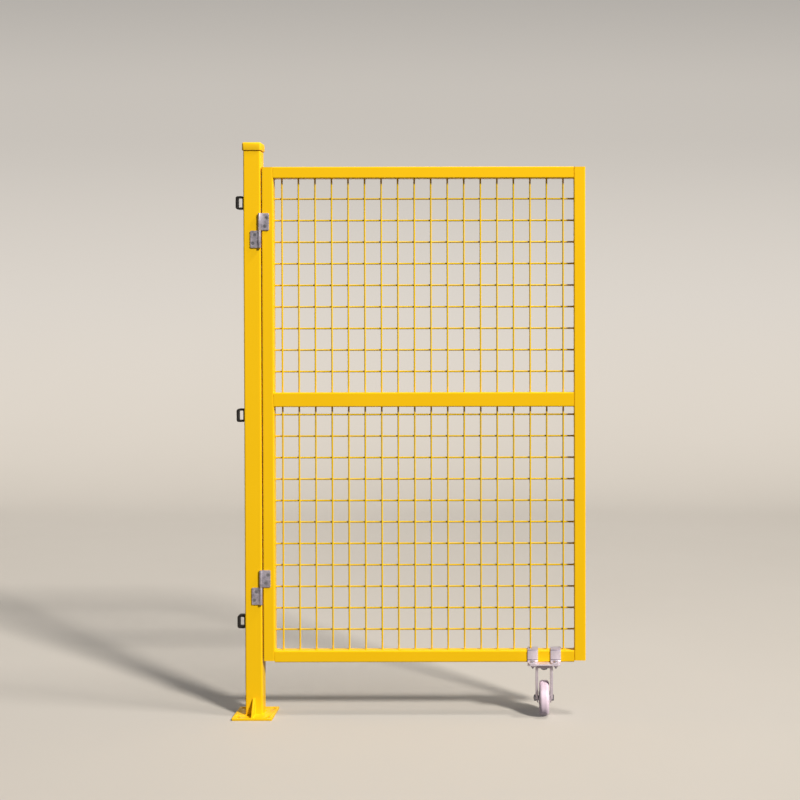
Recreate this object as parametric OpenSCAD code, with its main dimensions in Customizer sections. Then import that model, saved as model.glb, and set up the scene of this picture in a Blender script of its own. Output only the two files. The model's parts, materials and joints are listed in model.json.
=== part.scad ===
// Wire mesh partition post with a hinged mesh door leaf on a swivel caster.
// Frame: origin at the centre of the base plate's underside, +X along the closed
// door towards its free edge, -Y towards the side that the door opens to, +Z up.

/* [Post] */
// Overall height, floor to the top of the cap
total_h = 2005; // [1900:5:2400]
// Side of the square post tube
post_w = 60; // [50:1:80]
// Wall of the post tube
post_wall = 2.5; // [2:0.5:4]
// Outer corner radius of the post tube
post_corner_r = 5; // [4.5:0.5:8]

/* [Post cap] */
// Height of the cap
cap_h = 28; // [20:1:40]
// Wall of the cap's skirt and of its top
cap_wall = 3.7; // [3:0.1:5]
// Radius along the cap's upper edges
cap_edge_r = 9; // [4:0.5:10]

/* [Base] */
// Side of the square base plate
base_w = 140; // [125:1:180]
// Thickness of the base plate
base_t = 8; // [5:1:12]
// Corner radius of the base plate
base_corner_r = 3; // [1:0.5:8]
// Distance between the floor bolt holes, both ways
base_hole_pitch = 104; // [95:1:112]
// Diameter of the floor bolt holes
base_hole_d = 14; // [10:1:16]
// Height of the two stiffening ribs on the base plate
rib_h = 58; // [40:1:90]
// Thickness of the ribs
rib_t = 6; // [4:1:8]
// Land left between the tip of a rib and the plate's edge
rib_land = 3; // [1:1:10]
// Height of a rib at its outer tip and depth at its upper tip
rib_nose = 4; // [2:1:8]

/* [Door leaf] */
// Gap between the post and the leaf
door_gap = 3.5; // [3:0.5:8]
// Width of the leaf
door_w = 1125; // [900:5:1400]
// Height of the leaf over its rails
door_h = 1727; // [1600:1:1735]
// Face width of the frame tube
frame_w = 40; // [35:1:50]
// Depth of the frame tube
frame_d = 40; // [35:1:50]
// Wall of the frame tubes
frame_wall = 2; // [1.5:0.5:3]
// Outer corner radius of the frame tubes
frame_corner_r = 4; // [3.5:0.5:6]
// How far the head of a stile stays below the top rail's upper face
stile_head_setback = 0.5; // [0:0.5:8]
// How far the foot of a stile stays above the bottom rail's underside
stile_foot_setback = 5; // [0:0.5:8]
// Face height of the middle rail
middle_rail_h = 50; // [30:1:60]
// Depth of the middle rail, which leaves room for the mesh behind it
middle_rail_d = 20; // [15:1:25]
// Height of the middle rail's axis above the floor
middle_rail_z = 1109; // [900:1:1300]
// Thickness of the plugs' heads in the stile ends
plug_head_t = 2; // [1:0.5:3]
// Depth of the plugs inside the stiles
plug_depth = 14; // [8:1:20]

/* [Mesh] */
// Diameter of the upright wires
upright_d = 6; // [3:0.5:7]
// Diameter of the cross wires
cross_d = 6; // [3:0.5:7]
// Pitch of the upright wires
upright_pitch = 57.7; // [40:0.1:90]
// Pitch of the cross wires
cross_pitch = 75.4; // [50:0.1:110]
// From the hinge stile's inner face to the first upright wire's axis
first_upright = 27; // [15:0.5:40]
// From the bottom rail's upper face to the first cross wire's axis
first_cross = 69.5; // [30:0.5:80]

/* [Hinges] */
// Diameter of the hinge pins
pin_d = 6; // [5:0.5:7]
// Diameter of the hinge knuckles
knuckle_d = 10; // [9:0.5:14]
// Thickness of the hinge leaves
leaf_t = 4; // [3:0.5:5]
// Height of one hinge leaf
leaf_h = 60; // [50:1:80]
// Reach of a hinge leaf from the pin's axis
leaf_reach = 32.5; // [31:0.5:40]
// Distance of the pins' axis inside the plane of the post's side
hinge_inset = 2.5; // [0:0.5:3]
// Corner radius of the hinge leaves
leaf_corner_r = 3; // [1:0.5:5]
// Distance of the upper hinge's middle below the leaf's top
upper_hinge_drop = 221; // [120:1:300]
// Distance of the lower hinge's middle above the leaf's underside
lower_hinge_rise = 263; // [150:1:350]
// Thickness of the washers between the knuckles
knuckle_washer_t = 1.2; // [0.8:0.2:2]
// Thread diameter of the leaf screws
leaf_screw_d = 6; // [4:0.5:6]
// Length of the leaf screws
leaf_screw_l = 16; // [12:1:25]
// Distances of the two screws in a leaf from the hinge's middle
leaf_screw_rise = [15, 44];
// Distances of the two screws in a leaf from the pin's axis
leaf_screw_reach = [17, 24];

/* [Side loops] */
// Reach of a loop from the post's side
loop_reach = 30; // [24:1:50]
// Height of a loop
loop_h = 46; // [40:1:70]
// Width of the flat bar that the loops are bent from
loop_bar_w = 28; // [20:1:40]
// Thickness of that bar
loop_bar_t = 6.5; // [4.5:0.5:7]
// Outer corner radius of a loop
loop_corner_r = 8; // [7.5:0.5:10]
// Height of the lower loop's middle
lower_loop_z = 331; // [150:1:600]
// Height of the middle loop's middle
middle_loop_z = 1054; // [700:1:1300]
// Distance of the upper loop's middle below the top of the cap
upper_loop_drop = 209; // [100:1:400]
// Distance between the two screws of a loop
loop_screw_pitch = 19; // [15:1:22]

/* [Caster] */
// Height of the caster from the floor to its mounting plate's upper face
caster_h = 192; // [185:1:220]
// From the leaf's free edge to the caster's swivel axis
caster_inset = 145; // [130:1:300]
// Thickness of the caster's mounting plate
caster_plate_t = 6; // [4:0.5:8]
// Diameter of the swivel race under the plate
race_d = 50; // [46:1:60]
// Height of the swivel race
race_h = 8; // [7:0.5:14]
// Diameter of the swivel balls
ball_d = 6; // [5:0.5:7]
// Diameter of the circle on which the balls run
ball_circle_d = 35; // [33:0.5:36]
// Diameter of the kingpin
kingpin_d = 12; // [10:0.5:14]
// Sheet thickness of the fork
fork_t = 3.5; // [3:0.5:5]
// Thickness of the fork's crown
crown_t = 4; // [4:0.5:6]
// Length of the fork's crown fore and aft of the swivel axis
crown_l = 68; // [64:1:72]
// Width of the stiffening edge that is turned out along each fork leg
fork_edge = 6; // [4:0.5:8]
// Distance of the axle behind the swivel axis
caster_trail = 6; // [0:1:12]

/* [Caster wheel] */
// Diameter of the wheel
wheel_d = 120; // [110:1:130]
// Width of the tread
wheel_w = 34; // [28:1:40]
// Radius of the tread's shoulders
tread_shoulder_r = 11; // [6:0.5:12]
// Radial thickness of the tread
tread_t = 14; // [13:0.5:18]
// Diameter of the hub
hub_d = 44; // [40:1:48]
// Thickness of the web between hub and rim
web_t = 8; // [5:0.5:12]
// Number of stiffening ribs on each side of the web
web_ribs = 8; // [5:1:10]
// Diameter of the axle bolt
axle_d = 12; // [10:0.5:12]
// Outer diameter of the axle sleeve
sleeve_d = 16; // [15:0.5:18]
// Outer diameter of the wheel bearings
bearing_d = 32; // [26:1:34]
// Width of each wheel bearing
bearing_w = 10; // [8:0.5:12]

/* [Caster straps] */
// Width of the two straps that hold the caster on the bottom rail
strap_w = 36; // [34:1:40]
// Thickness of the straps
strap_t = 4; // [3:0.5:5]
// Distance between the middles of the straps
strap_pitch = 80; // [76:1:84]
// Reach of a strap's foot from the rail's face, with the strap's thickness
strap_foot = 32; // [30:0.5:34]
// Thread diameter of the strap bolts
strap_bolt_d = 8; // [6:1:8]
// Length of the strap bolts under their heads
strap_bolt_l = 24; // [20:1:26]
// Corner radius of the straps' feet and of the mounting plate
foot_corner_r = 12; // [3:0.5:14]

/* [Clearances] */
// Running clearance between a pin, axle or sleeve and its bore, on the radius
running_gap = 0.05; // [0.02:0.01:0.1]
// Clearance between a screw or bolt and its hole, on the radius
bolt_gap = 0.2; // [0.1:0.05:0.5]
// Clearance between parts that slip over or into each other
slip_gap = 0.3; // [0.2:0.05:0.5]
// Clearance between faces that turn on each other
turning_gap = 0.4; // [0.3:0.05:0.8]
// Clearance between a knuckle and the faces of the post and the leaf
knuckle_gap = 0.5; // [0.4:0.1:1]
// Weld gap between crossing wires and behind the middle rail
weld_gap = 0.1; // [0.05:0.05:0.3]
// Clearance of the slot in a strap around a wire that passes through it
wire_slot_gap = 2; // [1:0.5:3]
// Clearance of the axle washers inside the fork's turned-out edges
washer_gap = 0.9; // [0.5:0.1:2]
// Clearance of the wheel's hub from each fork leg
hub_gap = 2; // [1:0.5:4]

/* [Hidden] */
$fn = 64;
e = 1; // overlap of a cutting tool past the face that it opens

// Hexagon sizes and heights as shares of the thread diameter
hex_head_h = 0.65;
hex_nut_h = 0.8;
hex_across_flats = 1.6;
washer_od = 2.1;
washer_t = 2;
flat_head_d = 2;
flat_head_h = 0.5;
screw_recess_d = 0.75;
screw_recess_h = 0.3;

// Post and base
front_y = -post_w / 2;
post_top_z = total_h - cap_wall;
cap_w = post_w + 2 * (cap_wall + slip_gap);
rib_reach = (base_w - post_w) / 2 - rib_land;

// Door leaf: the leaf's front is flush with the post's front
door_x0 = post_w / 2 + door_gap;
door_x1 = door_x0 + door_w;
door_z0 = caster_h;
door_z1 = door_z0 + door_h;
door_mid_y = front_y + frame_d / 2;
door_back_y = front_y + frame_d;
open_x0 = door_x0 + frame_w;
open_x1 = door_x1 - frame_w;
open_z0 = door_z0 + frame_w;
open_z1 = door_z1 - frame_w;
stile_z0 = door_z0 + stile_foot_setback + plug_head_t;
stile_z1 = door_z1 - stile_head_setback - plug_head_t;

// Mesh
upright_y = front_y + middle_rail_d + weld_gap + upright_d / 2;
cross_y = upright_y + (upright_d + cross_d) / 2 + weld_gap;
uprights = floor((open_x1 - open_x0 - first_upright - upright_d) / upright_pitch);
crosses = floor((open_z1 - open_z0 - first_cross - cross_d) / cross_pitch);
upright_x = [for (i = [0:uprights]) open_x0 + first_upright + i * upright_pitch];
cross_z = [for (i = [0:crosses]) open_z0 + first_cross + i * cross_pitch];

// Hinges: the pins stand in front of the post's right front edge
hinge_x = post_w / 2 - hinge_inset;
hinge_y = front_y - knuckle_d / 2 - knuckle_gap;
loop_z = [lower_loop_z, middle_loop_z, total_h - upper_loop_drop];
upper_hinge_z = door_z1 - upper_hinge_drop;
lower_hinge_z = door_z0 + lower_hinge_rise;
pin_rise = leaf_h * 0.8;
knuckle_floor = 4;

// Wheel: the hub stands out past the tread, the rim and the ribs stay inside it
hub_side = 2;
hub_w = wheel_w + 2 * hub_side;
rim_side = 2;
rib_side = 5;
rim_r = wheel_d / 2 - tread_t;
rim_t = 7;
bore_gap = 2;

// Caster
caster_x = door_x1 - caster_inset;
caster_y = door_mid_y;
caster_plate_z = caster_h - caster_plate_t;
race_z = caster_plate_z - race_h;
crown_z = race_z - turning_gap - crown_t;
ball_z = race_z - turning_gap / 2;
balls = floor(PI * ball_circle_d / (ball_d * 1.25));
axle_y = caster_y + caster_trail;
axle_z = wheel_d / 2;
fork_gap = hub_w + 2 * hub_gap;
fork_w = fork_gap + 2 * fork_t;
fork_end_r = axle_d * washer_od / 2 + washer_gap + fork_t;
kingpin_head_h = kingpin_d / 4;
kingpin_end = 2;

// Straps and their bolts
strap_x = [caster_x - strap_pitch / 2, caster_x + strap_pitch / 2];
strap_bolt_y = [front_y - (strap_foot + strap_t) / 2, door_back_y + (strap_foot + strap_t) / 2];
strap_bend_r = strap_t + 1;
caster_plate_l = strap_pitch + strap_w;
caster_plate_w = frame_d + 2 * strap_foot;

yellow = [0.98, 0.77, 0.05];
zinc = [0.72, 0.70, 0.76];
black = [0.16, 0.14, 0.12];
brass = [0.75, 0.62, 0.30];
pale_plastic = [0.93, 0.87, 0.91];
steel = [0.55, 0.55, 0.57];

// ---- Shapes that repeat ----

// Rectangle with round corners, centred on the origin
module round_rect(w, h, r) {
    square([w - 2 * r, h], center = true);
    square([w, h - 2 * r], center = true);
    for (sx = [-1, 1], sy = [-1, 1])
        translate([sx * (w / 2 - r), sy * (h / 2 - r)]) circle(r = r);
}

// Section of a rectangular tube with round corners
module tube_section(w, h, wall, r) {
    difference() {
        round_rect(w, h, r);
        round_rect(w - 2 * wall, h - 2 * wall, max(r - wall, 0.5));
    }
}

// Tube that runs along X from x0 to x1
module tube_x(x0, x1, depth, height, r) {
    translate([x0, 0, 0]) rotate([90, 0, 90])
        linear_extrude(x1 - x0) tube_section(depth, height, frame_wall, r);
}

// Hexagonal prism, given across its flats
module hexagon(across, h) {
    cylinder(d = across / cos(30), h = h, $fn = 6);
}

// Ring around the Z axis
module ring(od, id, h) {
    difference() {
        cylinder(d = od, h = h);
        translate([0, 0, -e]) cylinder(d = id, h = h + 2 * e);
    }
}

// Pin with a countersunk head: the head's face at the origin, the shank down -Z
module countersunk_pin(d, head_d, head_h, l) {
    translate([0, 0, -head_h]) cylinder(d1 = d, d2 = head_d, h = head_h);
    translate([0, 0, -l]) cylinder(d = d, h = l - head_h);
}

// Hole for such a pin, open past the face by e, with gap all round on the radius
module countersunk_hole(d, head_d, head_h, l, gap) {
    open_d = head_d + (head_d - d) / head_h * e;
    translate([0, 0, -head_h]) cylinder(d1 = d + 2 * gap, d2 = open_d + 2 * gap, h = head_h + e);
    translate([0, 0, -l]) cylinder(d = d + 2 * gap, h = l);
}

// Flat-headed screw with a hexagon socket
module flat_screw(d, l) {
    difference() {
        countersunk_pin(d, d * flat_head_d, d * flat_head_h, l);
        translate([0, 0, -d * screw_recess_h]) hexagon(d * screw_recess_d, d * screw_recess_h + e);
    }
}

module flat_screw_hole(d, l) {
    countersunk_hole(d, d * flat_head_d, d * flat_head_h, l, bolt_gap);
}

// Hexagon bolt: underside of its head at the origin, its shank down -Z
module hex_bolt(d, l) {
    hexagon(d * hex_across_flats, d * hex_head_h);
    translate([0, 0, -l]) cylinder(d = d, h = l + e);
}

// Hexagon nut from the origin up, on a bolt of diameter d
module hex_nut(d) {
    difference() {
        hexagon(d * hex_across_flats, d * hex_nut_h);
        translate([0, 0, -e]) cylinder(d = d + 2 * running_gap, h = d * hex_nut_h + 2 * e);
    }
}

// ---- Base and post ----

module base_hole_places() {
    for (sx = [-1, 1], sy = [-1, 1])
        translate([sx * base_hole_pitch / 2, sy * base_hole_pitch / 2, 0]) children();
}

module base_plate() {
    color(yellow) difference() {
        linear_extrude(base_t) round_rect(base_w, base_w, base_corner_r);
        base_hole_places() translate([0, 0, -e]) cylinder(d = base_hole_d, h = base_t + 2 * e);
    }
}

// Rib in front of the post, welded to the plate and to the post
module base_rib() {
    rotate([0, 0, -90]) translate([post_w / 2, rib_t / 2, base_t]) rotate([90, 0, 0]) linear_extrude(rib_t)
        polygon([[0, 0], [rib_reach, 0], [rib_reach, rib_nose], [rib_nose, rib_h], [0, rib_h]]);
}

module base_ribs() {
    color(yellow) {
        base_rib();
        mirror([0, 1, 0]) base_rib();
    }
}

// Hole in a tube's wall for a screw whose head's face is at the origin
module screw_shank_hole() {
    translate([0, 0, -leaf_screw_l]) cylinder(d = leaf_screw_d + 2 * bolt_gap, h = leaf_screw_l);
}

// Holes in the post for the screws of the hinge leaves and the side loops
module post_screw_holes() {
    for (z = [lower_hinge_z, upper_hinge_z])
        leaf_screw_places(z, -1) screw_shank_hole();
    for (z = loop_z) loop_screw_places(z) screw_shank_hole();
}

module post_tube() {
    color(yellow) difference() {
        translate([0, 0, base_t]) linear_extrude(post_top_z - base_t)
            tube_section(post_w, post_w, post_wall, post_corner_r);
        post_screw_holes();
    }
}

// Bar of the cap's height and width with round upper edges
module cap_barrel(turn) {
    rotate([90, 0, turn]) linear_extrude(2 * cap_w, center = true) round_rect(cap_w, 2 * cap_h, cap_edge_r);
}

// Cap that slips over the post, with round edges on all four sides of its top
module post_cap() {
    color(yellow) translate([0, 0, total_h - cap_h]) difference() {
        intersection() {
            linear_extrude(cap_h) round_rect(cap_w, cap_w, post_corner_r + cap_wall);
            cap_barrel(0);
            cap_barrel(90);
        }
        translate([0, 0, -e]) linear_extrude(cap_h - cap_wall + e)
            round_rect(post_w + 2 * slip_gap, post_w + 2 * slip_gap, post_corner_r);
    }
}

// ---- Hinges ----

// Places of the two screws in a leaf: side 1 is the door's leaf, above the middle,
// side -1 the post's leaf, which is the same leaf turned over
module leaf_screw_places(z, side) {
    for (i = [0, 1])
        translate([hinge_x + side * leaf_screw_reach[i], front_y - leaf_t, z + side * leaf_screw_rise[i]])
            rotate([90, 0, 0]) children();
}

// One leaf with its knuckle, as seen on the door's side of the hinge
module hinge_leaf(bore_depth) {
    knuckle_h = leaf_h - knuckle_washer_t / 2;
    difference() {
        union() {
            translate([0, front_y - hinge_y, leaf_h / 2 + knuckle_washer_t / 4]) rotate([90, 0, 0])
                linear_extrude(leaf_t) {
                    translate([leaf_reach / 2, 0]) round_rect(leaf_reach, knuckle_h, leaf_corner_r);
                    translate([0, -knuckle_h / 2]) square([leaf_reach / 2, knuckle_h]);
                }
            translate([0, 0, knuckle_washer_t / 2]) cylinder(d = knuckle_d, h = knuckle_h);
        }
        translate([0, 0, -e]) cylinder(d = pin_d + 2 * running_gap, h = bore_depth + e);
    }
}

module hinge_door_leaf(z) {
    color(zinc) difference() {
        translate([hinge_x, hinge_y, z + turning_gap / 2]) hinge_leaf(pin_rise + turning_gap);
        leaf_screw_places(z, 1) flat_screw_hole(leaf_screw_d, leaf_screw_l);
    }
}

module hinge_post_leaf(z) {
    color(zinc) difference() {
        translate([hinge_x, hinge_y, z]) rotate([0, 180, 0]) hinge_leaf(leaf_h - knuckle_floor);
        leaf_screw_places(z, -1) flat_screw_hole(leaf_screw_d, leaf_screw_l);
    }
}

module upper_hinge_post_leaf() hinge_post_leaf(upper_hinge_z);
module lower_hinge_post_leaf() hinge_post_leaf(lower_hinge_z);
module upper_hinge_door_leaf() hinge_door_leaf(upper_hinge_z);
module lower_hinge_door_leaf() hinge_door_leaf(lower_hinge_z);

// Pin that stands on the floor of the post leaf's bore and reaches into the door's leaf
module hinge_pin(z) {
    color(steel) translate([hinge_x, hinge_y, z - leaf_h + knuckle_floor]) {
        cylinder(d = pin_d, h = leaf_h - knuckle_floor + pin_rise - pin_d / 4);
        translate([0, 0, leaf_h - knuckle_floor + pin_rise - pin_d / 4])
            cylinder(d1 = pin_d, d2 = pin_d / 2, h = pin_d / 4);
    }
}

module upper_hinge_pin() hinge_pin(upper_hinge_z);
module lower_hinge_pin() hinge_pin(lower_hinge_z);

module hinge_washers() {
    color(brass) for (z = [lower_hinge_z, upper_hinge_z])
        translate([hinge_x, hinge_y, z - knuckle_washer_t / 2])
            ring(knuckle_d, pin_d + 2 * running_gap, knuckle_washer_t);
}

module post_hinge_screws() {
    color(zinc) for (z = [lower_hinge_z, upper_hinge_z])
        leaf_screw_places(z, -1) flat_screw(leaf_screw_d, leaf_screw_l);
}

module door_hinge_screws() {
    color(zinc) for (z = [lower_hinge_z, upper_hinge_z])
        leaf_screw_places(z, 1) flat_screw(leaf_screw_d, leaf_screw_l);
}

// ---- Side loops, to which the next panel is fastened ----

module loop_screw_places(z) {
    for (s = [-1, 1])
        translate([-post_w / 2 - loop_bar_t, 0, z + s * loop_screw_pitch / 2]) rotate([0, -90, 0]) children();
}

module side_loop(z) {
    color(black) difference() {
        translate([-post_w / 2 - loop_reach / 2, loop_bar_w / 2, z]) rotate([90, 0, 0])
            linear_extrude(loop_bar_w) difference() {
                round_rect(loop_reach, loop_h, loop_corner_r);
                round_rect(loop_reach - 2 * loop_bar_t, loop_h - 2 * loop_bar_t,
                    max(loop_corner_r - loop_bar_t, 0.5));
            }
        loop_screw_places(z) flat_screw_hole(leaf_screw_d, leaf_screw_l);
    }
}

module upper_side_loop() side_loop(loop_z[2]);
module middle_side_loop() side_loop(loop_z[1]);
module lower_side_loop() side_loop(loop_z[0]);

module side_loop_screws() {
    color(zinc) for (z = loop_z)
        loop_screw_places(z) flat_screw(leaf_screw_d, leaf_screw_l);
}

// ---- Door leaf ----

module stile(x) {
    translate([x, door_mid_y, stile_z0]) linear_extrude(stile_z1 - stile_z0)
        tube_section(frame_w, frame_d, frame_wall, frame_corner_r);
}

module hinge_stile() {
    color(yellow) difference() {
        stile(door_x0 + frame_w / 2);
        for (z = [lower_hinge_z, upper_hinge_z]) leaf_screw_places(z, 1) screw_shank_hole();
    }
}

module free_stile() {
    color(yellow) stile(door_x1 - frame_w / 2);
}

module top_rail() {
    color(yellow) translate([0, door_mid_y, door_z1 - frame_w / 2])
        tube_x(open_x0, open_x1, frame_d, frame_w, frame_corner_r);
}

module middle_rail() {
    color(yellow) translate([0, front_y + middle_rail_d / 2, middle_rail_z])
        tube_x(open_x0, open_x1, middle_rail_d, middle_rail_h, frame_corner_r);
}

module bottom_rail() {
    color(yellow) translate([0, door_mid_y, door_z0 + frame_w / 2])
        tube_x(open_x0, open_x1, frame_d, frame_w, frame_corner_r);
}

// Plug that closes the lower end of a stile, its head down
module stile_plug() {
    inner_w = frame_w - 2 * (frame_wall + slip_gap);
    inner_d = frame_d - 2 * (frame_wall + slip_gap);
    translate([0, 0, -plug_head_t]) linear_extrude(plug_head_t) round_rect(frame_w, frame_d, frame_corner_r);
    linear_extrude(plug_depth) tube_section(inner_w, inner_d, frame_wall, frame_corner_r - frame_wall / 2);
}

module stile_plugs() {
    color(yellow) for (x = [door_x0 + frame_w / 2, door_x1 - frame_w / 2]) {
        translate([x, door_mid_y, stile_z0]) stile_plug();
        translate([x, door_mid_y, stile_z1]) mirror([0, 0, 1]) stile_plug();
    }
}

module mesh_upright_wires() {
    color(yellow) for (x = upright_x)
        translate([x, upright_y, open_z0]) cylinder(d = upright_d, h = open_z1 - open_z0, $fn = 24);
}

module mesh_cross_wires() {
    color(yellow) for (z = cross_z)
        translate([open_x0, cross_y, z]) rotate([0, 90, 0])
            cylinder(d = cross_d, h = open_x1 - open_x0, $fn = 24);
}

// ---- Straps that hold the caster under the bottom rail ----

module strap_bolt_places() {
    for (x = strap_x, y = strap_bolt_y) translate([x, y, 0]) children();
}

// Section of a strap across the rail, its height from the leaf's underside
module strap_section() {
    outer_d = frame_d + 2 * strap_t;
    outer_h = frame_w + strap_t;
    difference() {
        union() {
            intersection() {
                round_rect(outer_d, 2 * outer_h, strap_bend_r);
                translate([-outer_d, 0]) square([2 * outer_d, 2 * outer_h]);
            }
            translate([-caster_plate_w / 2, 0]) square([caster_plate_w, strap_t]);
        }
        translate([-frame_d / 2, -e]) square([frame_d, frame_w + e]);
    }
}

// Hat-shaped strap over the rail, with a slot for each upright wire that passes through it
module caster_strap(x) {
    slot = upright_d + 2 * wire_slot_gap;
    color(zinc) difference() {
        intersection() {
            translate([x - strap_w / 2, door_mid_y, door_z0]) rotate([90, 0, 90])
                linear_extrude(strap_w) strap_section();
            translate([x, door_mid_y, door_z0 - e]) linear_extrude(frame_w + strap_t + 2 * e)
                round_rect(strap_w, caster_plate_w, foot_corner_r);
        }
        strap_bolt_places() translate([0, 0, door_z0 - e])
            cylinder(d = strap_bolt_d + 2 * bolt_gap, h = strap_t + 2 * e);
        for (wire_x = upright_x)
            if (abs(wire_x - x) < (strap_w + slot) / 2)
                translate([wire_x - slot / 2, upright_y - slot / 2, open_z0 - e])
                    cube([slot, slot, strap_t + 2 * e]);
    }
}

module inner_caster_strap() caster_strap(strap_x[0]);
module outer_caster_strap() caster_strap(strap_x[1]);

module strap_bolts() {
    color(zinc) strap_bolt_places() translate([0, 0, door_z0 + strap_t + washer_t])
        hex_bolt(strap_bolt_d, strap_bolt_l);
}

module strap_washers() {
    color(zinc) strap_bolt_places() translate([0, 0, door_z0 + strap_t])
        ring(strap_bolt_d * washer_od, strap_bolt_d + 2 * bolt_gap, washer_t);
}

module strap_nuts() {
    color(zinc) strap_bolt_places() translate([0, 0, caster_plate_z - strap_bolt_d * hex_nut_h])
        hex_nut(strap_bolt_d);
}

// ---- Caster ----

// Groove for the balls around the swivel axis
module ball_groove() {
    translate([0, 0, ball_z]) rotate_extrude() translate([ball_circle_d / 2, 0])
        circle(d = ball_d + 2 * running_gap);
}

// Mounting plate with the upper half of the swivel race under it
module caster_plate() {
    color(zinc) difference() {
        union() {
            translate([caster_x, caster_y, caster_plate_z]) linear_extrude(caster_plate_t)
                round_rect(caster_plate_l, caster_plate_w, foot_corner_r);
            translate([caster_x, caster_y, race_z])
                cylinder(d1 = race_d, d2 = race_d + race_h / 2, h = race_h);
        }
        strap_bolt_places() translate([0, 0, caster_plate_z - e])
            cylinder(d = strap_bolt_d + 2 * bolt_gap, h = caster_plate_t + 2 * e);
        translate([caster_x, caster_y, 0]) {
            ball_groove();
            translate([0, 0, caster_h]) countersunk_hole(kingpin_d, kingpin_d * flat_head_d, kingpin_head_h,
                caster_plate_t + race_h + e, running_gap);
        }
    }
}

// Kingpin with a countersunk head in the plate
module kingpin() {
    pin_z0 = crown_z - turning_gap - washer_t - kingpin_d * hex_nut_h - kingpin_end;
    color(steel) translate([caster_x, caster_y, caster_h])
        countersunk_pin(kingpin_d, kingpin_d * flat_head_d, kingpin_head_h, caster_h - pin_z0);
}

module kingpin_washer() {
    color(zinc) translate([caster_x, caster_y, crown_z - turning_gap - washer_t])
        ring(kingpin_d * washer_od, kingpin_d + 2 * running_gap, washer_t);
}

module kingpin_nut() {
    color(steel) translate([caster_x, caster_y, crown_z - turning_gap - washer_t - kingpin_d * hex_nut_h])
        hex_nut(kingpin_d);
}

// Point where the line from p touches the circle of radius r at the origin
function touch_point(p, r, side) =
    let (d = norm(p), a = atan2(p[1], p[0]) + side * acos(r / d)) [r * cos(a), r * sin(a)];

// Outline of a fork leg, fore-and-aft by height from the axle, drawn in by inset
module fork_leg_outline(inset) {
    r = fork_end_r - inset;
    top = crown_z + crown_t - axle_z;
    fore = [-caster_trail - crown_l / 2 + inset, top];
    aft = [-caster_trail + crown_l / 2 - inset, top];
    polygon([fore, aft, touch_point(aft, r, -1), [0, 0], touch_point(fore, r, 1)]);
    circle(r = r);
}

// Fork leg on the side of +X, with its edges turned outwards above the axle
module fork_leg() {
    rotate([90, 0, 90]) translate([0, 0, fork_gap / 2]) difference() {
        union() {
            linear_extrude(fork_t) fork_leg_outline(0);
            linear_extrude(fork_t + fork_edge) difference() {
                fork_leg_outline(0);
                fork_leg_outline(fork_t);
                translate([-wheel_d, -wheel_d]) square([2 * wheel_d, wheel_d]);
            }
        }
        translate([0, 0, -e]) cylinder(d = axle_d + 2 * bolt_gap, h = fork_t + 2 * e);
    }
}

module caster_fork() {
    color(zinc) difference() {
        union() {
            translate([caster_x, axle_y, axle_z]) {
                fork_leg();
                mirror([1, 0, 0]) fork_leg();
            }
            translate([caster_x, caster_y, crown_z])
                linear_extrude(crown_t) square([fork_gap + fork_t, crown_l], center = true);
        }
        translate([caster_x, caster_y, 0]) {
            ball_groove();
            translate([0, 0, crown_z - e]) cylinder(d = kingpin_d + 2 * running_gap, h = crown_t + 2 * e);
        }
    }
}

module swivel_balls() {
    color(steel) for (i = [0:balls - 1])
        translate([caster_x, caster_y, ball_z]) rotate([0, 0, i * 360 / balls])
            translate([ball_circle_d / 2, 0, 0]) sphere(d = ball_d, $fn = 32);
}

// ---- Axle: head on the free edge's side, nut on the hinge's side ----

module at_axle() {
    translate([caster_x, axle_y, axle_z]) rotate([0, 90, 0]) children();
}

module axle_bolt() {
    color(steel) at_axle() translate([0, 0, fork_w / 2 + washer_t])
        hex_bolt(axle_d, fork_w + 2 * washer_t + axle_d * hex_nut_h + axle_d / 8);
}

module axle_washers() {
    color(zinc) at_axle() for (z = [-fork_w / 2 - washer_t, fork_w / 2])
        translate([0, 0, z]) ring(axle_d * washer_od, axle_d + 2 * running_gap, washer_t);
}

module axle_nut() {
    color(steel) at_axle() translate([0, 0, -fork_w / 2 - washer_t - axle_d * hex_nut_h]) hex_nut(axle_d);
}

module axle_sleeve() {
    color(steel) at_axle() translate([0, 0, -fork_gap / 2])
        ring(sleeve_d, axle_d + 2 * running_gap, fork_gap);
}

// ---- Wheel ----

module wheel_core() {
    rim_w = wheel_w - 2 * rim_side;
    web_rib_w = wheel_w - 2 * rib_side;
    color(pale_plastic) at_axle() difference() {
        union() {
            translate([0, 0, -hub_w / 2]) cylinder(d = hub_d, h = hub_w);
            translate([0, 0, -rim_w / 2]) ring(2 * rim_r, 2 * (rim_r - rim_t), rim_w);
            translate([0, 0, -web_t / 2]) cylinder(r = rim_r - rim_t / 2, h = web_t);
            for (i = [0:web_ribs - 1])
                rotate([0, 0, i * 360 / web_ribs]) translate([hub_d / 4, -web_t / 4, -web_rib_w / 2])
                    cube([rim_r - rim_t / 2 - hub_d / 4, web_t / 2, web_rib_w]);
        }
        translate([0, 0, -hub_w / 2 - e]) cylinder(d = sleeve_d + 2 * bore_gap, h = hub_w + 2 * e);
        for (z = [-hub_w / 2 - e, hub_w / 2 - bearing_w])
            translate([0, 0, z]) cylinder(d = bearing_d, h = bearing_w + e);
    }
}

// Tread with round shoulders, moulded on the rim
module wheel_tread() {
    inner = rim_r;
    outer = wheel_d / 2;
    r = tread_shoulder_r;
    color(pale_plastic) at_axle() rotate_extrude($fn = 128) {
        translate([inner, -wheel_w / 2]) square([outer - r - inner, wheel_w]);
        translate([inner, -wheel_w / 2 + r]) square([outer - inner, wheel_w - 2 * r]);
        for (s = [-1, 1]) translate([outer - r, s * (wheel_w / 2 - r)]) intersection() {
            circle(r = r);
            translate([0, -r]) square([r, 2 * r]);
        }
    }
}

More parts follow.
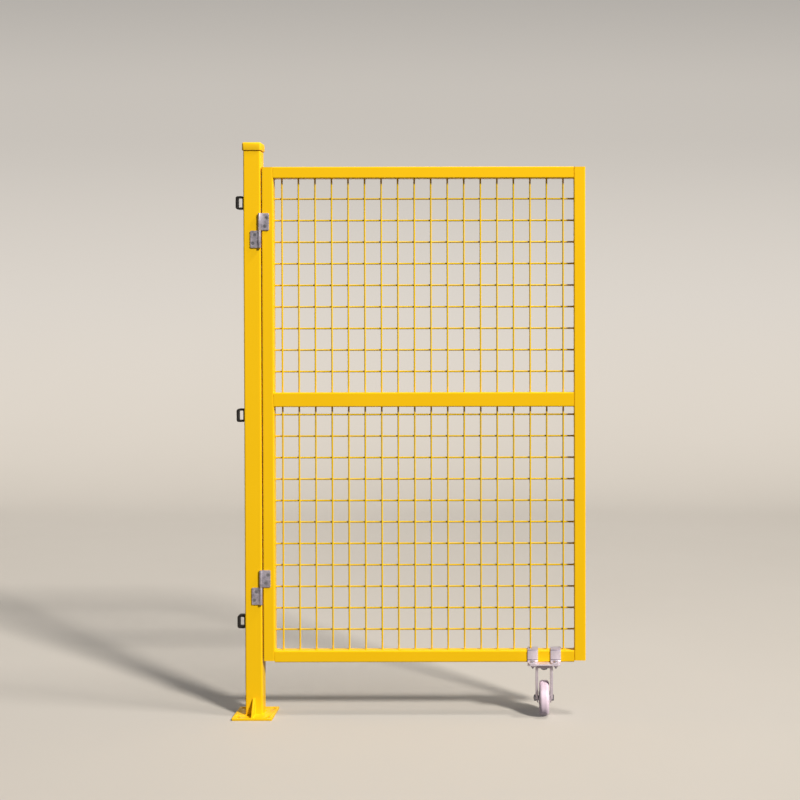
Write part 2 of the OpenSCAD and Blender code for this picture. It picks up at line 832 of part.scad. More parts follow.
module wheel_bearings() {
    color(steel) at_axle() for (z = [-hub_w / 2, hub_w / 2 - bearing_w])
        translate([0, 0, z]) ring(bearing_d, sleeve_d + 2 * running_gap, bearing_w);
}

base_plate();
base_ribs();
post_tube();
post_cap();
upper_hinge_post_leaf();
lower_hinge_post_leaf();
upper_hinge_pin();
lower_hinge_pin();
hinge_washers();
post_hinge_screws();
upper_side_loop();
middle_side_loop();
lower_side_loop();
side_loop_screws();
hinge_stile();
free_stile();
top_rail();
middle_rail();
bottom_rail();
stile_plugs();
mesh_upright_wires();
mesh_cross_wires();
upper_hinge_door_leaf();
lower_hinge_door_leaf();
door_hinge_screws();
inner_caster_strap();
outer_caster_strap();
strap_bolts();
strap_washers();
strap_nuts();
caster_plate();
kingpin();
kingpin_washer();
kingpin_nut();
caster_fork();
swivel_balls();
axle_bolt();
axle_washers();
axle_nut();
axle_sleeve();
wheel_core();
wheel_tread();
wheel_bearings();
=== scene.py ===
import json
from math import pi, radians, sqrt

import bpy
from mathutils import Matrix, Vector

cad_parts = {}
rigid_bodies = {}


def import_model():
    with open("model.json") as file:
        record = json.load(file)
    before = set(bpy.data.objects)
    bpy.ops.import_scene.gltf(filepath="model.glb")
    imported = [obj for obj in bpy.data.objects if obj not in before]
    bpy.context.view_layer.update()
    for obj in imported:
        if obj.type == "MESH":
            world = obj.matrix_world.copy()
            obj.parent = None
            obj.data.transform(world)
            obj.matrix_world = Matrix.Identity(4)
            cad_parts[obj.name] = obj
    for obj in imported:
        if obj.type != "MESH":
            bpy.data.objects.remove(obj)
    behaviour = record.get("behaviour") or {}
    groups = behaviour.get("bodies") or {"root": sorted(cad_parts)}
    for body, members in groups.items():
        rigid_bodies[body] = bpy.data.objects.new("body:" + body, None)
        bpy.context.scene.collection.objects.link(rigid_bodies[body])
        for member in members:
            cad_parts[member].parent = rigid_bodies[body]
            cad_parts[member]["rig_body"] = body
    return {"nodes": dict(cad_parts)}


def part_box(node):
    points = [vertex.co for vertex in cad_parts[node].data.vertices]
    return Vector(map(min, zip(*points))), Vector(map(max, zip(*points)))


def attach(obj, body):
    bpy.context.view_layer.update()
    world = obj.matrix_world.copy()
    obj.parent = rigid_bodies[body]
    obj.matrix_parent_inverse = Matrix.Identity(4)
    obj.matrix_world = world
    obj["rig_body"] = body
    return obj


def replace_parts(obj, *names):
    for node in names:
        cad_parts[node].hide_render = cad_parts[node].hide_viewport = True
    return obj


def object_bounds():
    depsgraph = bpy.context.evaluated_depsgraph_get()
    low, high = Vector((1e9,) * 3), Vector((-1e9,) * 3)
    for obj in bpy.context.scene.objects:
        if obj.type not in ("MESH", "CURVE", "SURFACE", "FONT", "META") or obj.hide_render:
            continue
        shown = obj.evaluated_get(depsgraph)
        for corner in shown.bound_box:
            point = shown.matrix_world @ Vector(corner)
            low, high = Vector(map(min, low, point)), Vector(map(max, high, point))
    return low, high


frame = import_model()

node = frame["nodes"]
cad_low, cad_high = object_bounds()
bpy.ops.object.select_all(action="DESELECT")


# ---- Camera ----
# It stands a little right of the door's middle at eye height and looks straight at the door's
# plane. The shift puts the part left of the picture's middle, as in the photograph.
CAMERA_PLACE = (0.956, -4.549, 1.414)
CAMERA_TURN, CAMERA_TILT, CAMERA_ROLL = radians(-0.034), radians(89.221), radians(-0.086)
camera = bpy.data.objects.new("camera", bpy.data.cameras.new("camera"))
bpy.context.collection.objects.link(camera)
camera.matrix_world = (
    Matrix.Translation(CAMERA_PLACE)
    @ Matrix.Rotation(CAMERA_TURN, 4, "Z")
    @ Matrix.Rotation(CAMERA_TILT, 4, "X")
    @ Matrix.Rotation(CAMERA_ROLL, 4, "Z")
)
camera.data.sensor_width = 36.0
camera.data.lens = 58.48
camera.data.shift_x = -0.16
camera.data.shift_y = -0.088
bpy.context.scene.camera = camera


# ---- Floor and light ----
# A pale square floor that curves up into walls all round, so that no view has a horizon. The key
# light stands in front and to the right, one soft light hangs overhead, and one behind lights
# the part but not the floor. A weak sky fills in.
FLOOR_SIZE, WALL_HEIGHT, WALL_CURVE = 15.0, 6.5, 3.0
GLOW_TOP, FRONT_WALL, FRONT_FADE = 1.5, -6.5, -3.5
MIDDLE = (cad_low + cad_high) / 2


class Signal:
    """A socket in a material's tree, on which arithmetic adds the Math nodes."""

    def __init__(self, socket):
        self.socket = socket

    def add(self, kind, settings, inputs, output=0):
        """A new node of this tree: its settings first, then its sockets' values or links."""
        tree = self.socket.id_data
        made = tree.nodes.new(kind)
        for name, value in settings.items():
            setattr(made, name, value)
        for name, value in inputs.items():
            if isinstance(value, Signal):
                tree.links.new(value.socket, made.inputs[name])
            else:
                made.inputs[name].default_value = value
        return Signal(made.outputs[output])

    def math(self, operation, first, second=0.0):
        return self.add("ShaderNodeMath", {"operation": operation}, {0: first, 1: second})

    def __add__(self, other):
        return self.math("ADD", self, other)

    def __sub__(self, other):
        return self.math("SUBTRACT", self, other)

    def __rsub__(self, other):
        return self.math("SUBTRACT", other, self)

    def __mul__(self, other):
        return self.math("MULTIPLY", self, other)

    __radd__ = __add__
    __rmul__ = __mul__

    def noise(self, scale, detail=2.0, roughness=0.5):
        """Noise at this many bumps to the metre, from 0 to 1."""
        sockets = {"Vector": self, "Scale": scale, "Detail": detail, "Roughness": roughness}
        return self.add("ShaderNodeTexNoise", {}, sockets)

    def cells(self, scale):
        """Crystal cells at this many to the metre, each of its own grey."""
        grey = self.add("ShaderNodeTexVoronoi", {}, {"Vector": self, "Scale": scale}, "Color")
        return grey.add("ShaderNodeSeparateColor", {}, {"Color": grey})

    def along(self, axis):
        """How far along this axis a place lies, in metres."""
        return self.add("ShaderNodeSeparateXYZ", {}, {"Vector": self}, axis)

    def ramp(self, low, high):
        """0 up to low, 1 from high on, and a straight rise between them."""
        sockets = {"Value": self, "From Min": low, "From Max": high, "To Min": 0.0, "To Max": 1.0}
        return self.add("ShaderNodeMapRange", {}, sockets)

    def blend(self, first, second):
        """Colour that goes from first, where this signal is 0, to second, where it is 1."""
        first, second = (c if isinstance(c, Signal) else (*c, 1.0) for c in (first, second))
        return self.add("ShaderNodeMix", {"data_type": "RGBA"}, {0: self, 6: first, 7: second}, 2)


def linear(red, green, blue):
    """A screen colour from 0 to 255 as the light that it stands for."""
    return tuple(
        ((c / 255 + 0.055) / 1.055) ** 2.4 if c > 10 else c / 255 / 12.92
        for c in (red, green, blue)
    )


def material(name, paint, slot="", **fixed):
    """A material with these fixed sockets, and what paint returns from the object's coordinates."""
    made = bpy.data.materials.new(name)
    made["slot"] = slot
    made.use_nodes = True
    shader = made.node_tree.nodes["Principled BSDF"]
    place = made.node_tree.nodes.new("ShaderNodeTexCoord").outputs["Object"]
    for socket, value in fixed.items():
        shader.inputs[socket.replace("_", " ")].default_value = value
    for socket, signal in paint(Signal(place)).items():
        made.node_tree.links.new(signal.socket, shader.inputs[socket])
    return made


def bumped(height, depth):
    """The normal of a surface whose height goes from 0 to 1 over depth metres."""
    return height.add("ShaderNodeBump", {}, {"Height": height, "Distance": depth, "Strength": 1.0})


def floor_paint(place):
    ground = place.noise(0.8, detail=3.0).blend((0.52, 0.470, 0.411), (0.55, 0.501, 0.441))
    height = place.along("Z")
    # The walls glow, a painted light: their emission rises with height up to GLOW_TOP and is
    # strongest on the front wall, which no lamp lights.
    front = 1.0 - place.along("Y").ramp(FRONT_WALL, FRONT_FADE)
    glow = height.ramp(0.0, GLOW_TOP) * (0.30 + 0.70 * front)
    return {
        # The walls' base colour turns darker than the floor's with height, a painted shade that takes
        # back part of the key light's brightness on them.
        "Base Color": height.ramp(0.0, GLOW_TOP).blend(ground, (0.475, 0.435, 0.393)),
        "Emission Color": glow.blend((0.060, 0.060, 0.059), (0.305, 0.315, 0.318)),
        "Roughness": 0.55 + 0.1 * place.noise(4.0),
        "Normal": bumped(place.noise(90.0), 0.0002),
    }


bpy.ops.mesh.primitive_plane_add(size=FLOOR_SIZE, location=(MIDDLE.x, MIDDLE.y, 0))
floor = bpy.context.object
floor.name = "floor"
bpy.ops.object.transform_apply()
bpy.ops.object.mode_set(mode="EDIT")
bpy.ops.mesh.select_mode(type="EDGE")
bpy.ops.mesh.extrude_region_move(TRANSFORM_OT_translate={"value": (0, 0, WALL_HEIGHT)})
bpy.ops.object.mode_set(mode="OBJECT")
curve = floor.modifiers.new("curve", "BEVEL")
curve.width = WALL_CURVE
curve.segments = 24
curve.limit_method = "ANGLE"
bpy.ops.object.modifier_apply(modifier="curve")
bpy.ops.object.shade_smooth()
pale = material("pale floor", floor_paint, Emission_Strength=1.0, Specular_IOR_Level=0.1)
floor.data.materials.append(pale)
floor.visible_diffuse = False
floor.visible_shadow = False
backdrop = bpy.data.collections.new("backdrop")
backdrop.objects.link(floor)
backdrop.collection_objects[0].light_linking.link_state = "EXCLUDE"

key = bpy.data.objects.new("key light", bpy.data.lights.new("key light", "SUN"))
key.data.angle = radians(8)
key.data.energy = 4.1
key.data.color = (1.0, 0.985, 0.95)
key.rotation_euler = (radians(54), 0, radians(44.5))
bpy.context.collection.objects.link(key)

for name, size, energy, place in (
    ("overhead light", 0.5, 70.0, Vector((2.2, -0.6, 4.4))),
    ("rear light", 2.5, 90.0, Vector((-0.8, 5.0, 2.0))),
):
    lamp = bpy.data.objects.new(name, bpy.data.lights.new(name, "AREA"))
    lamp.data.size = size
    lamp.data.energy = energy
    lamp.data.color = (1.0, 0.99, 0.97)
    lamp.location = place
    lamp.rotation_euler = (place - MIDDLE).to_track_quat("Z", "Y").to_euler()
    lamp.visible_camera = False
    if name == "rear light":
        lamp.visible_glossy = False
        lamp.light_linking.receiver_collection = backdrop
    bpy.context.collection.objects.link(lamp)

sky = bpy.data.worlds.new("sky")
sky.use_nodes = True
sky.node_tree.nodes["Background"].inputs["Color"].default_value = (0.93, 0.95, 1.0, 1.0)
sky.node_tree.nodes["Background"].inputs["Strength"].default_value = 0.14
bpy.context.scene.world = sky
bpy.context.scene.view_settings.view_transform = "Standard"


# ---- Base plate and ribs ----
# Steel plate with four holes for floor bolts, and a rib before and behind the post. All of it
# is welded to the post by hand and powder coated together with it.
WELD_LEG, RIPPLE_STEP, RIPPLE_THICK = 0.0028, 0.42, 0.6
TUBE_CORNER = 0.002


def powder_coat(place):
    cloud = place.noise(3.0, detail=3.0)
    peel = place.noise(420.0, detail=1.5)
    return {
        "Base Color": cloud.blend((0.93, 0.520, 0.004), (0.97, 0.570, 0.007)),
        "Roughness": 0.34 + 0.10 * cloud,
        "Normal": bumped(peel, 0.00009),
    }


yellow = material("yellow powder coat", powder_coat, "yellow_paint", Specular_IOR_Level=0.1)


def pick(piece):
    """Makes the piece the only one that is selected."""
    bpy.ops.object.select_all(action="DESELECT")
    piece.select_set(True)
    bpy.context.view_layer.objects.active = piece


def modify(piece, kind, **settings):
    """Adds a modifier with these settings to the piece and applies it."""
    pick(piece)
    modifier = piece.modifiers.new(kind.lower(), kind)
    for name, value in settings.items():
        setattr(modifier, name, value)
    bpy.ops.object.modifier_apply(modifier=modifier.name)


def open_up(piece, kind, wanted):
    """Edit mode on the piece, with the edges or faces selected whose corners all are wanted."""
    pick(piece)
    bpy.ops.object.mode_set(mode="EDIT")
    bpy.ops.mesh.select_mode(type=kind)
    bpy.ops.mesh.select_all(action="DESELECT")
    bpy.ops.object.mode_set(mode="OBJECT")
    for part in piece.data.edges if kind == "EDGE" else piece.data.polygons:
        part.select = all(wanted(piece.data.vertices[corner].co) for corner in part.vertices)
    bpy.ops.object.mode_set(mode="EDIT")


def settle(piece, name, look, body, smooth=35):
    """Puts the piece's place in its mesh, gives it its finish and lets it ride on the body."""
    pick(piece)
    bpy.ops.object.transform_apply(location=True, rotation=True, scale=True)
    bpy.ops.object.shade_smooth_by_angle(angle=radians(smooth))
    piece.name = name
    piece.data.materials.clear()
    piece.data.materials.append(look)
    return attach(piece, body)


def merged_copy(name):
    """Copy of a CAD node with its loose triangles merged to plain faces."""
    piece = bpy.data.objects.new(name, node[name].data.copy())
    bpy.context.collection.objects.link(piece)
    open_up(piece, "FACE", lambda at: True)
    bpy.ops.mesh.customdata_custom_splitnormals_clear()
    bpy.ops.mesh.remove_doubles(threshold=0.00001)
    bpy.ops.mesh.dissolve_limited(angle_limit=radians(1))
    bpy.ops.object.mode_set(mode="OBJECT")
    return piece


def softened(name, look, edge, piece=None):
    """Stands for a CAD node: its copy with edges rounded by edge metres."""
    piece = piece or merged_copy(name)
    modify(
        piece, "BEVEL", width=edge, segments=2, limit_method="ANGLE", angle_limit=radians(32),
        use_clamp_overlap=False,
    )
    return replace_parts(settle(piece, name + "_edged", look, node[name]["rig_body"]), name)


def weld(name, body, start, end, leg=WELD_LEG):
    """Bead along the seam from start to end: overlapping ripples, half sunk in both pieces."""
    start, end = Vector(start), Vector(end)
    step = RIPPLE_STEP * leg
    bpy.ops.mesh.primitive_uv_sphere_add(segments=8, ring_count=6, radius=leg)
    bead = bpy.context.object
    bpy.ops.object.mode_set(mode="EDIT")
    bpy.ops.transform.resize(value=(RIPPLE_THICK, 1.0, 1.0))
    bpy.ops.object.mode_set(mode="OBJECT")
    count = int((end - start).length / step) + 1
    modify(
        bead, "ARRAY", count=count, use_relative_offset=False, use_constant_offset=True,
        constant_offset_displace=(step, 0, 0),
    )
    along_seam = (end - start).to_track_quat("X", "Z").to_matrix().to_4x4()
    bead.matrix_world = Matrix.Translation(start) @ along_seam
    return settle(bead, name, yellow, body, smooth=80)


softened("base_plate", yellow, 0.0007)
softened("base_ribs", yellow, 0.0006)
plate_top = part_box("base_plate")[1].z
post_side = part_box("post_tube")[1].x
rib_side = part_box("base_ribs")[1].x
rib_tip, rib_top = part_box("base_ribs")[1].y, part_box("base_ribs")[1].z
for away, where in ((-1, "front"), (1, "rear")):
    for side, hand in ((-1, "left"), (1, "right")):
        near, far = side * rib_side, side * (post_side - TUBE_CORNER)
        wall = away * post_side
        corner = (near, wall, plate_top)
        weld(f"{where}_{hand}_foot_weld", "post", corner, (far, wall, plate_top))
        weld(f"{where}_{hand}_rib_weld", "post", corner, (near, away * rib_tip, plate_top))
        weld(f"{where}_{hand}_upper_rib_weld", "post", corner, (near, wall, rib_top))
for side, hand in ((-1, "left"), (1, "right")):
    wall = side * post_side
    weld(f"{hand}_foot_weld", "post", (wall, -post_side, plate_top), (wall, post_side, plate_top))


# ---- Post and cap ----
# Square steel tube, coated with the base plate that it stands on. A moulded cap is pushed over
# its top and covers the cut end.
def moulded_yellow(place):
    cloud = place.noise(9.0)
    return {
        "Base Color": cloud.blend((0.94, 0.535, 0.006), (0.98, 0.580, 0.010)),
        "Roughness": 0.42 + 0.10 * cloud,
        "Normal": bumped(place.noise(900.0), 0.00002),
    }


node["post_tube"].data.materials[0] = yellow
cap_yellow = material("yellow moulding", moulded_yellow, "yellow_plastic", Specular_IOR_Level=0.15)
softened("post_cap", cap_yellow, 0.0006)


# ---- Side loops ----
# Flat bar bent to a loop and painted black. Each is screwed to the post's side, where a
# neighbouring panel hooks on.
def black_paint(place):
    peel = place.noise(500.0)
    return {
        "Base Color": place.noise(20.0).blend(linear(24, 21, 19), linear(38, 33, 29)),
        "Roughness": 0.50 + 0.12 * peel,
        "Normal": bumped(peel, 0.00003),
    }


black = material("satin black", black_paint, "black_paint", Specular_IOR_Level=0.3)
for height in ("upper", "middle", "lower"):
    softened(height + "_side_loop", black, 0.0006)


# ---- Hinges ----
# Zinc plated steel leaves with rolled knuckles: the door's leaf stands on the post's pin. They
# have stood outdoors, so the plating is dull and blotched.
def weathered_zinc(place):
    blotch = place.noise(70.0, detail=4.0, roughness=0.65).ramp(0.35, 0.68)
    return {
        "Base Color": blotch.blend((0.25, 0.225, 0.26), (0.56, 0.51, 0.57)),
        "Roughness": 0.62 - 0.22 * blotch,
        "Metallic": 0.45 + 0.4 * blotch,
        "Normal": bumped(place.noise(600.0, detail=4.0), 0.00005),
    }


hinge_zinc = material("weathered zinc", weathered_zinc, "zinc_plate")
for height in ("upper", "lower"):
    softened(height + "_hinge_post_leaf", hinge_zinc, 0.0005)
    softened(height + "_hinge_door_leaf", hinge_zinc, 0.0005)


def turned_steel(place):
    mark = place.noise(300.0)
    return {
        "Base Color": mark.blend((0.20, 0.19, 0.21), (0.34, 0.33, 0.36)),
        "Roughness": 0.32 + 0.15 * mark,
    }


steel = material("turned steel", turned_steel, "bright_steel", Metallic=0.9)


def plain_brass(place):
    mark = place.noise(250.0)
    return {
        "Base Color": mark.blend((0.55, 0.38, 0.12), (0.68, 0.50, 0.20)),
        "Roughness": 0.3 + 0.15 * mark,
    }


for name in (
    "upper_hinge_pin", "lower_hinge_pin", "post_hinge_screws", "door_hinge_screws",
    "side_loop_screws",
):
    node[name].data.materials[0] = steel
brass = material("plain brass", plain_brass, "brass_washer", Metallic=0.9)
node["hinge_washers"].data.materials[0] = brass


# ---- Door frame ----
# Two stiles and three rails of square and flat tube, butted and welded inside and at the back.
# The faces towards the front are ground flush before the coating.
RAIL_WELD, RAIL_RIM, BACK_SUNK = 0.0022, 0.004, 0.001
for name in ("hinge_stile", "free_stile", "top_rail", "middle_rail", "bottom_rail"):
    node[name].data.materials[0] = yellow
node["stile_plugs"].data.materials[0] = cap_yellow
for name in ("top_rail", "middle_rail", "bottom_rail"):
    low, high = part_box(name)
    back = high.y - BACK_SUNK
    for x, hand in ((low.x, "left"), (high.x, "right")):
        seam = (x, back, low.z + RAIL_RIM), (x, back, high.z - RAIL_RIM)
        weld(f"{name}_{hand}_back_weld", "door", *seam, RAIL_WELD)
        for z, side in ((low.z, "under"), (high.z, "upper")):
            if (name, side) not in (("top_rail", "upper"), ("bottom_rail", "under")):
                seam = (x, low.y + RAIL_RIM, z), (x, high.y - RAIL_RIM, z)
                weld(f"{name}_{hand}_{side}_weld", "door", *seam, RAIL_WELD)


# ---- Mesh ----
# Straight wires, the uprights in front and the cross wires behind, spot welded where they cross
# and welded at their ends to the rails and stiles. The wires and their welds have the frame's
# yellow painted darker, as painted shade for the shaded sides of the thin wires.
WIRE_D = 0.006
UPRIGHTS, UPRIGHT_PITCH = 18, 0.0577
CROSSES, CROSS_PITCH = 21, 0.0754
NUGGET = (0.0040, 0.0020, 0.0040)
RAIL_SPOT, RAIL_SPOT_INSET = (0.0048, 0.0022, 0.0040), 0.006
END_WELD_WIDE, END_WELD_DEEP = 0.0048, 0.0026


def wire_coat_painted_shade(place):
    cloud = place.noise(12.0, detail=3.0)
    return {
        # Darker than the frame's powder coat: painted shade for the wires' shaded sides.
        "Base Color": cloud.blend((0.74, 0.46, 0.004), (0.82, 0.52, 0.006)),
        "Roughness": 0.40 + 0.12 * cloud,
        "Normal": bumped(place.noise(500.0), 0.00004),
    }


shaded_wire_yellow = material("wire coat with painted shade", wire_coat_painted_shade, "yellow_paint", Specular_IOR_Level=0.1)
for name in ("mesh_upright_wires", "mesh_cross_wires"):
    node[name].data.materials[0] = shaded_wire_yellow
upright_low, upright_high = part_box("mesh_upright_wires")
cross_low, cross_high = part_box("mesh_cross_wires")
first_x, upright_y = upright_low.x + WIRE_D / 2, (upright_low.y + upright_high.y) / 2
first_z, cross_y = cross_low.z + WIRE_D / 2, (cross_low.y + cross_high.y) / 2


def weld_spots(name, at, radii, uprights=1, crosses=1):
    """Small flattened nuggets of weld, repeated along the mesh."""
    bpy.ops.mesh.primitive_uv_sphere_add(segments=8, ring_count=5, radius=1.0, location=at)
    spot = bpy.context.object
    bpy.ops.object.mode_set(mode="EDIT")
    bpy.ops.transform.resize(value=radii)
    bpy.ops.object.mode_set(mode="OBJECT")
    for count, offset in ((uprights, (UPRIGHT_PITCH, 0, 0)), (crosses, (0, 0, CROSS_PITCH))):
        modify(
            spot, "ARRAY", count=count, use_relative_offset=False, use_constant_offset=True,
            constant_offset_displace=offset,
        )
    return settle(spot, name, shaded_wire_yellow, "door", smooth=80)


between_y = (upright_high.y + cross_low.y) / 2
weld_spots("crossing_nuggets", (first_x, between_y, first_z), NUGGET, UPRIGHTS, CROSSES)
upright_end = (END_WELD_WIDE, END_WELD_WIDE, END_WELD_DEEP)
for z, where in ((upright_low.z, "lower"), (upright_high.z, "upper")):
    at = (first_x, upright_y, z)
    weld_spots(f"{where}_wire_end_welds", at, upright_end, uprights=UPRIGHTS)
cross_end = (END_WELD_DEEP, END_WELD_WIDE, END_WELD_WIDE)
for x, where in ((cross_low.x, "hinge_side"), (cross_high.x, "free_side")):
    weld_spots(f"{where}_wire_end_welds", (x, cross_y, first_z), cross_end, crosses=CROSSES)
middle_low, middle_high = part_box("middle_rail")
inset = RAIL_SPOT_INSET
for z, where in ((middle_low.z + inset, "under"), (middle_high.z - inset, "over")):
    at = (first_x, middle_high.y, z)
    weld_spots(f"middle_rail_{where}_spots", at, RAIL_SPOT, uprights=UPRIGHTS)


# ---- Caster straps and their bolts ----
# Two steel straps bent over the bottom rail, each with a foot before and behind it that a
# hexagon bolt clamps to the caster's plate. All of it is bright zinc plated. Along the straps'
# bends the zinc is painted darker: painted shade in the crease over each foot, and a painted
# dark reflection along the top bend.
STRAP_T, FOOT_FILLET = 0.004, 0.005
BOLT_D, BOLT_PITCH, BOLT_L = 0.008, 0.00125, 0.024
BOLTS_APART = Vector((0.080, 0.076))
HEAD_ACROSS, HEAD_HIGH, NUT_HIGH, NUT_BORE = 1.6, 0.65, 0.8, 0.98
THREAD_START, THREAD_DEPTH, TIP_BEVEL = 0.9, 0.62, 0.6
ON_LINE = 0.0001


def bright_zinc(place):
    crystal = place.cells(520.0)
    patch = place.noise(35.0, detail=4.0, roughness=0.6).ramp(0.3, 0.7)
    tone = 0.6 * patch + 0.4 * crystal
    return {
        "Base Color": tone.blend((0.57, 0.49, 0.54), (0.73, 0.64, 0.69)),
        "Roughness": 0.46 + 0.16 * crystal,
        "Normal": bumped(place.noise(600.0), 0.00001),
    }


def plated_bolt(place):
    mark = place.noise(200.0, detail=3.0)
    return {
        "Base Color": mark.blend((0.44, 0.42, 0.46), (0.62, 0.58, 0.63)),
        "Roughness": 0.25 + 0.2 * mark,
    }


zinc = material("bright zinc", bright_zinc, "zinc_plate", Metallic=0.5)
bolt_zinc = material("plated bolt", plated_bolt, "zinc_plate", Metallic=0.8)
plate_low, plate_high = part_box("caster_plate")
swivel = (plate_low + plate_high) / 2
rail_low, rail_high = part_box("bottom_rail")
strap_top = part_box("inner_caster_strap")[1].z


def zinc_with_painted_bend_shade(place):
    look = bright_zinc(place)
    height = place.along("Z")
    # Darkens the zinc in a narrow band at each bend: painted shade in the crease over the foot, and a
    # painted dark reflection along the top bend.
    for bend in (plate_high.z + STRAP_T + FOOT_FILLET, strap_top - STRAP_T / 2):
        painted_bend_shade = 1.0 - height.math("ABSOLUTE", height - bend).ramp(0.0006, 0.0026)
        look["Base Color"] = painted_bend_shade.blend(look["Base Color"], (0.26, 0.22, 0.27))
    return look


def foot_corner(at):
    """On the line where a strap's wall rises from the top of its foot."""
    wall = min(abs(at.y - (rail_low.y - STRAP_T)), abs(at.y - (rail_high.y + STRAP_T)))
    return wall < ON_LINE and abs(at.z - (plate_high.z + STRAP_T)) < ON_LINE


bent_zinc_painted_shade = material("bent zinc with painted bend shade", zinc_with_painted_bend_shade, "zinc_plate", Metallic=0.5)
for name in ("inner_caster_strap", "outer_caster_strap"):
    strap = merged_copy(name)
    open_up(strap, "EDGE", foot_corner)
    bpy.ops.mesh.bevel(offset=FOOT_FILLET, segments=4)
    bpy.ops.object.mode_set(mode="OBJECT")
    softened(name, bent_zinc_painted_shade, 0.0005, strap)


def hexagon(across, height, ends=(1,)):
    """Forged hexagon from the origin up, whose corners a cone turns off at the top or both ends."""
    bpy.ops.mesh.primitive_cylinder_add(
        vertices=6, radius=across / sqrt(3), depth=height, location=(0, 0, height / 2),
        rotation=(0, 0, pi / 6),
    )
    piece = bpy.context.object
    bpy.ops.object.transform_apply()
    face, past = 0.475 * across, 0.1 * height
    slope = sqrt(3)
    for end in ends:
        bpy.ops.mesh.primitive_cone_add(
            vertices=48, radius1=face + slope * 2 * height, radius2=face - slope * past,
            depth=2 * height + past, location=(0, 0, height / 2 + end * (past - height) / 2),
            rotation=(0 if end > 0 else pi, 0, 0),
        )
        cone = bpy.context.object
        modify(piece, "BOOLEAN", operation="INTERSECT", object=cone, solver="EXACT")
        bpy.data.objects.remove(cone)
    return piece


def joined(*pieces):
    """The first piece with the others' meshes in it."""
    bpy.ops.object.select_all(action="DESELECT")
    for piece in pieces:
        piece.select_set(True)
    bpy.context.view_layer.objects.active = pieces[0]
    bpy.ops.object.join()
    return pieces[0]


def threaded_shank(diameter, pitch, plain, length):
    """Shank from the origin down: plain at first, then a rolled thread on a core with a blunt tip."""
    ridge, start = pitch / sqrt(3), -length + THREAD_START * pitch
    turns = int((length - plain) / pitch - THREAD_START)
    bpy.ops.mesh.primitive_circle_add(
        vertices=3, radius=ridge, location=(diameter / 2 - ridge, 0, start),
        rotation=(pi / 2, pi / 2, 0),
    )
    helix = bpy.context.object
    bpy.ops.object.transform_apply()
    modify(
        helix, "SCREW", axis="Z", screw_offset=pitch, iterations=turns, steps=18, render_steps=18,
        use_normal_calculate=True,
    )
    open_up(helix, "FACE", lambda at: True)
    bpy.ops.mesh.fill_holes(sides=3)
    bpy.ops.mesh.normals_make_consistent(inside=False)
    bpy.ops.object.mode_set(mode="OBJECT")
    core_r = diameter / 2 - THREAD_DEPTH * pitch
    bpy.ops.mesh.primitive_cylinder_add(
        vertices=32, radius=core_r, depth=length, location=(0, 0, -length / 2)
    )
    core = bpy.context.object
    bpy.ops.object.transform_apply()
    open_up(core, "FACE", lambda at: at.z < -0.99 * length)
    bpy.ops.mesh.bevel(offset=TIP_BEVEL * pitch, segments=1)
    bpy.ops.object.mode_set(mode="OBJECT")
    pieces = [helix, core]
    if plain:
        bpy.ops.mesh.primitive_cylinder_add(
            vertices=32, radius=diameter / 2, depth=plain, location=(0, 0, -plain / 2)
        )
        bpy.ops.object.transform_apply()
        pieces.append(bpy.context.object)
    return joined(*pieces)


def bored(piece, diameter, height):
    """Cuts a round hole through the piece, up from the origin."""
    bpy.ops.mesh.primitive_cylinder_add(
        vertices=32, radius=diameter / 2, depth=2 * height, location=(0, 0, height / 2)
    )
    drill = bpy.context.object
    modify(piece, "BOOLEAN", operation="DIFFERENCE", object=drill, solver="EXACT")
    bpy.data.objects.remove(drill)
    return piece


def hexagon_bolt(diameter, pitch, plain, length):
    head = hexagon(HEAD_ACROSS * diameter, HEAD_HIGH * diameter)
    return joined(head, threaded_shank(diameter, pitch, plain, length))


def hexagon_nut(diameter):
    blank = hexagon(HEAD_ACROSS * diameter, NUT_HIGH * diameter, ends=(1, -1))
    return bored(blank, NUT_BORE * diameter, NUT_HIGH * diameter)


def repeated(model, name, stands_for, look, places):
    """A copy of the model, with its own mesh, at each place, in the place of a CAD node."""
    for number, place in enumerate(places, 1):
        piece = bpy.data.objects.new(name, model.data.copy())
        bpy.context.collection.objects.link(piece)
        piece.matrix_world = place
        number = f"_{number}" if len(places) > 1 else ""
        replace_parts(settle(piece, name + number, look, node[stands_for]["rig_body"]), stands_for)
    bpy.data.objects.remove(model)


head_z, nut_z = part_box("strap_washers")[1].z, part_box("strap_nuts")[0].z
bolt_tops = [
    Matrix.Translation((swivel.x + x * BOLTS_APART.x / 2, swivel.y + y * BOLTS_APART.y / 2, head_z))
    for x in (-1, 1) for y in (-1, 1)
]
nut_feet = [Matrix.Translation((0, 0, nut_z - top.translation.z)) @ top for top in bolt_tops]
bolt = hexagon_bolt(BOLT_D, BOLT_PITCH, 0, BOLT_L)
repeated(bolt, "strap_bolt", "strap_bolts", bolt_zinc, bolt_tops)
repeated(hexagon_nut(BOLT_D), "strap_nut", "strap_nuts", zinc, nut_feet)
softened("strap_washers", bolt_zinc, 0.0003)


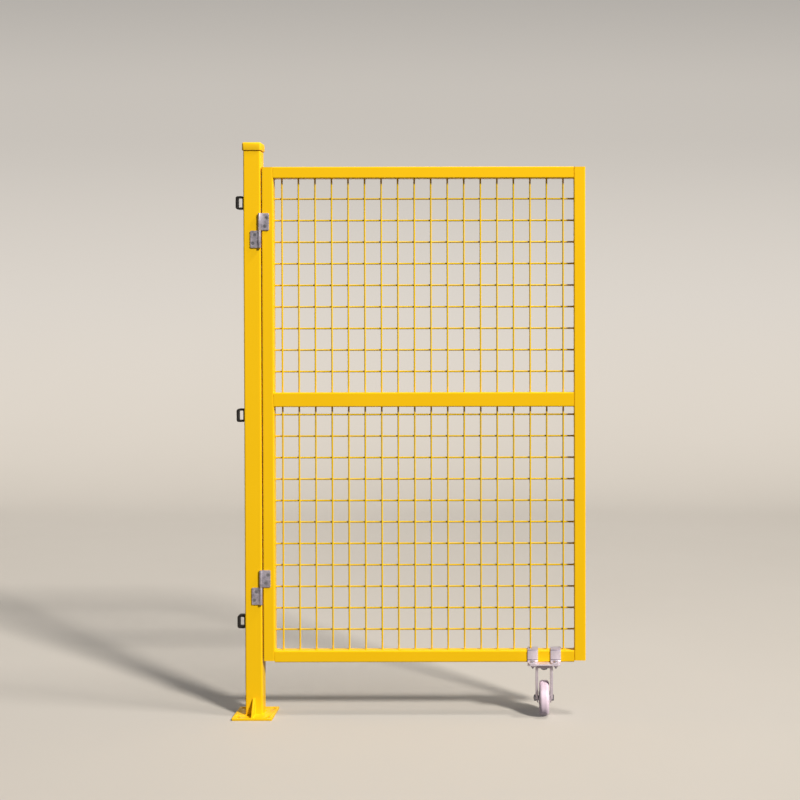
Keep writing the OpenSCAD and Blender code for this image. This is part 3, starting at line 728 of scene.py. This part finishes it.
# ---- Caster plate, kingpin and swivel ----
# Pressed plate with its race welded under it. The kingpin's head lies sunk in the plate, and
# its nut holds the fork up against a ring of hardened balls.
PIN_D, PIN_PITCH, PIN_THREAD = 0.012, 0.00175, 0.014
softened("caster_plate", zinc, 0.0006)
softened("kingpin_washer", zinc, 0.0003)
node["swivel_balls"].data.materials[0] = steel
pin_low, pin_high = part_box("kingpin")
head_h = PIN_D / 4
bpy.ops.mesh.primitive_cone_add(
    vertices=48, radius1=PIN_D / 2, radius2=PIN_D, depth=head_h, location=(0, 0, -head_h / 2)
)
pin_head = bpy.context.object
bpy.ops.object.transform_apply()
pin_length = pin_high.z - pin_low.z
pin = joined(pin_head, threaded_shank(PIN_D, PIN_PITCH, pin_length - PIN_THREAD, pin_length))
top = Matrix.Translation((swivel.x, swivel.y, pin_high.z))
repeated(pin, "threaded_kingpin", "kingpin", steel, [top])
nut_foot = Matrix.Translation((swivel.x, swivel.y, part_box("kingpin_nut")[0].z))
repeated(hexagon_nut(PIN_D), "chamfered_kingpin_nut", "kingpin_nut", steel, [nut_foot])


# ---- Fork and axle ----
# Fork pressed from one sheet, with its legs' edges turned out. A hexagon bolt goes through the
# legs and the wheel's sleeve, with a washer under its head and under its nut.
softened("caster_fork", zinc, 0.0005)
softened("axle_washers", zinc, 0.0003)
node["axle_sleeve"].data.materials[0] = steel
axle_tip, washer_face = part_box("axle_bolt")[0].x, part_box("axle_washers")[1].x
axle = (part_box("wheel_tread")[0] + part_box("wheel_tread")[1]) / 2
towards_free_edge = Matrix.Rotation(pi / 2, 4, "Y")
axle_length = washer_face - axle_tip
bolt = hexagon_bolt(PIN_D, PIN_PITCH, axle_length - PIN_THREAD, axle_length)
head_foot = Matrix.Translation((washer_face, axle.y, axle.z)) @ towards_free_edge
repeated(bolt, "threaded_axle_bolt", "axle_bolt", steel, [head_foot])
nut_foot = Matrix.Translation((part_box("axle_nut")[0].x, axle.y, axle.z)) @ towards_free_edge
repeated(hexagon_nut(PIN_D), "chamfered_axle_nut", "axle_nut", steel, [nut_foot])


# ---- Wheel ----
# Pale moulded core with ribs on both sides, a softer tread moulded round it with a fine parting
# line, and a ball bearing pressed in each side of the hub.
PARTING_R = 0.0004


def pale_moulding(place):
    cloud = place.noise(25.0)
    return {
        "Base Color": cloud.blend((0.66, 0.56, 0.62), (0.74, 0.64, 0.70)),
        "Roughness": 0.35 + 0.12 * cloud,
    }


def worn_tread(place):
    scuff = place.noise(60.0, detail=5.0, roughness=0.7).ramp(0.52, 0.75)
    return {
        "Base Color": scuff.blend((0.84, 0.66, 0.75), (0.60, 0.48, 0.54)),
        "Roughness": 0.38 + 0.30 * scuff,
        "Normal": bumped(place.noise(300.0, detail=3.0), 0.00004),
    }


core_look = material("pale moulding", pale_moulding, "wheel_core_plastic")
tread_look = material("worn tread", worn_tread, "wheel_tread_plastic")
softened("wheel_core", core_look, 0.0005)
node["wheel_tread"].data.materials[0] = tread_look
node["wheel_bearings"].data.materials[0] = steel
tread_low, tread_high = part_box("wheel_tread")
bpy.ops.mesh.primitive_torus_add(
    major_segments=96, minor_segments=6, major_radius=(tread_high.z - tread_low.z) / 2 - PARTING_R,
    minor_radius=PARTING_R, location=axle, rotation=(0, pi / 2, 0),
)
parting = bpy.context.object
settle(parting, "tread_parting_line", tread_look, "wheel", smooth=80)
